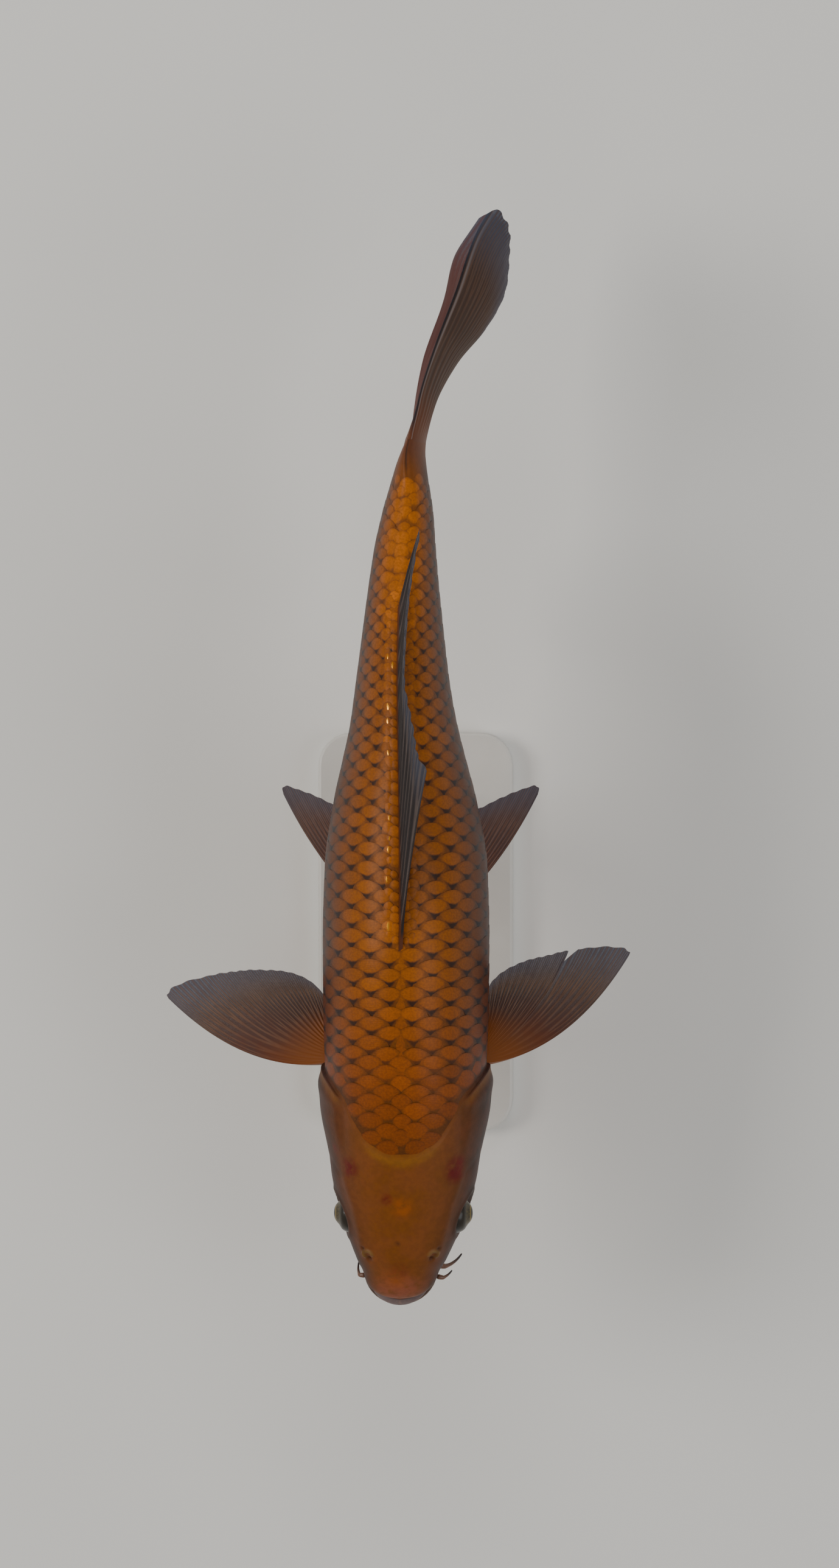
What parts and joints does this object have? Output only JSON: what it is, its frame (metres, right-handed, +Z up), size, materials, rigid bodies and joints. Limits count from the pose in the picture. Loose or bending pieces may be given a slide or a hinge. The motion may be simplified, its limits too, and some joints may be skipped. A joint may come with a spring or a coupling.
{
  "type": "koi carp",
  "caption": "Life-size swimming koi carp with spread side fins, a half-folded back fin and a curved tail, on a flat display base with short rods.",
  "frame": {"origin": "middle of the underside of the stand's base, straight under the fish's trunk", "axes": "+Y from the fish's head to its tail, -Y the way it swims, +Z up through its back, +X its left side"},
  "size_m": [0.1927, 0.4536, 0.1989],
  "materials": {
    "head_skin": "smooth wet skin, brown-orange with an olive-yellow nape",
    "cheek_skin": "smooth wet skin over the gill covers, orange-brown",
    "lip": "soft wet skin, grey-brown",
    "eye": "clear wet cornea over a brown iris and black pupil",
    "scaled_skin": "scaled skin, amber-orange scales with a dark mark at each root",
    "fin": "thin dusky fin with paler rays, orange at the root",
    "base_paint": "off-white satin paint",
    "rod_steel": "brushed steel rod"
  },
  "bodies": {
    "root": {"head": "head_skin", "gill_cover_left": "cheek_skin", "gill_cover_right": "cheek_skin", "upper_lip": "lip", "lower_lip": "lip", "barbel_short_left": "lip", "barbel_long_left": "lip", "barbel_short_right": "lip", "barbel_long_right": "lip", "eye_left": "eye", "eye_right": "eye", "trunk_front": "scaled_skin", "trunk_rear": "scaled_skin", "tail_stalk": "scaled_skin", "dorsal_fin": "fin", "anal_fin": "fin", "tail_fin_upper": "fin", "tail_fin_lower": "fin", "pectoral_fin_left": "fin", "pectoral_fin_right": "fin", "pelvic_fin_left": "fin", "pelvic_fin_right": "fin", "stand_base": "base_paint", "stand_rod_front": "rod_steel", "stand_rod_rear": "rod_steel"}
  },
  "joints": []
}
